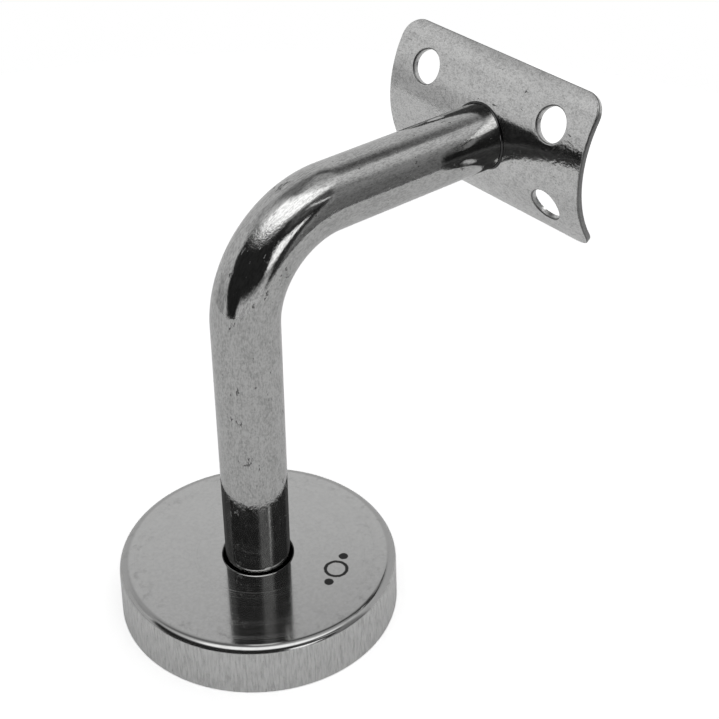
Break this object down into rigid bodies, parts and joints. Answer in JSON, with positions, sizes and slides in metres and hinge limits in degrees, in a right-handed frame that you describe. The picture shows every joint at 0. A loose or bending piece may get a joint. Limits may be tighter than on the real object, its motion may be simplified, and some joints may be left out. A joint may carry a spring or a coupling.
{
  "type": "handrail bracket",
  "caption": "Wall bracket for a round handrail: a bent round bar carries a rolled, drilled saddle, and a loose round cover hides the screwed flange.",
  "frame": {"origin": "middle of the wall flange's back face, on the axis of the bar's first leg", "axes": "+Z out of the wall along the bar's first leg, +X the way the bar bends towards the rail, Y along the rail"},
  "size_m": [0.0988, 0.0604, 0.1083],
  "materials": {
    "polished_bar": "polished almost to a mirror, with a faint orange peel",
    "polished_sheet": "polished, with a stronger orange peel",
    "cover_sheet": "satin polish, spun top and drawn skirt",
    "plain_plate": "mill finish",
    "weld_metal": "as welded"
  },
  "bodies": {
    "bracket": {"wall_flange": "plain_plate", "flange_weld": "weld_metal", "support_arm": "polished_bar", "saddle_plate": "polished_sheet", "saddle_weld": "polished_bar"},
    "cover": {"base_cover": "cover_sheet"}
  },
  "joints": [
    {"name": "cover_slide", "type": "slide", "parent": "bracket", "child": "cover", "axis": [0, 0, 1], "range_m": [0, 0.055]}
  ]
}
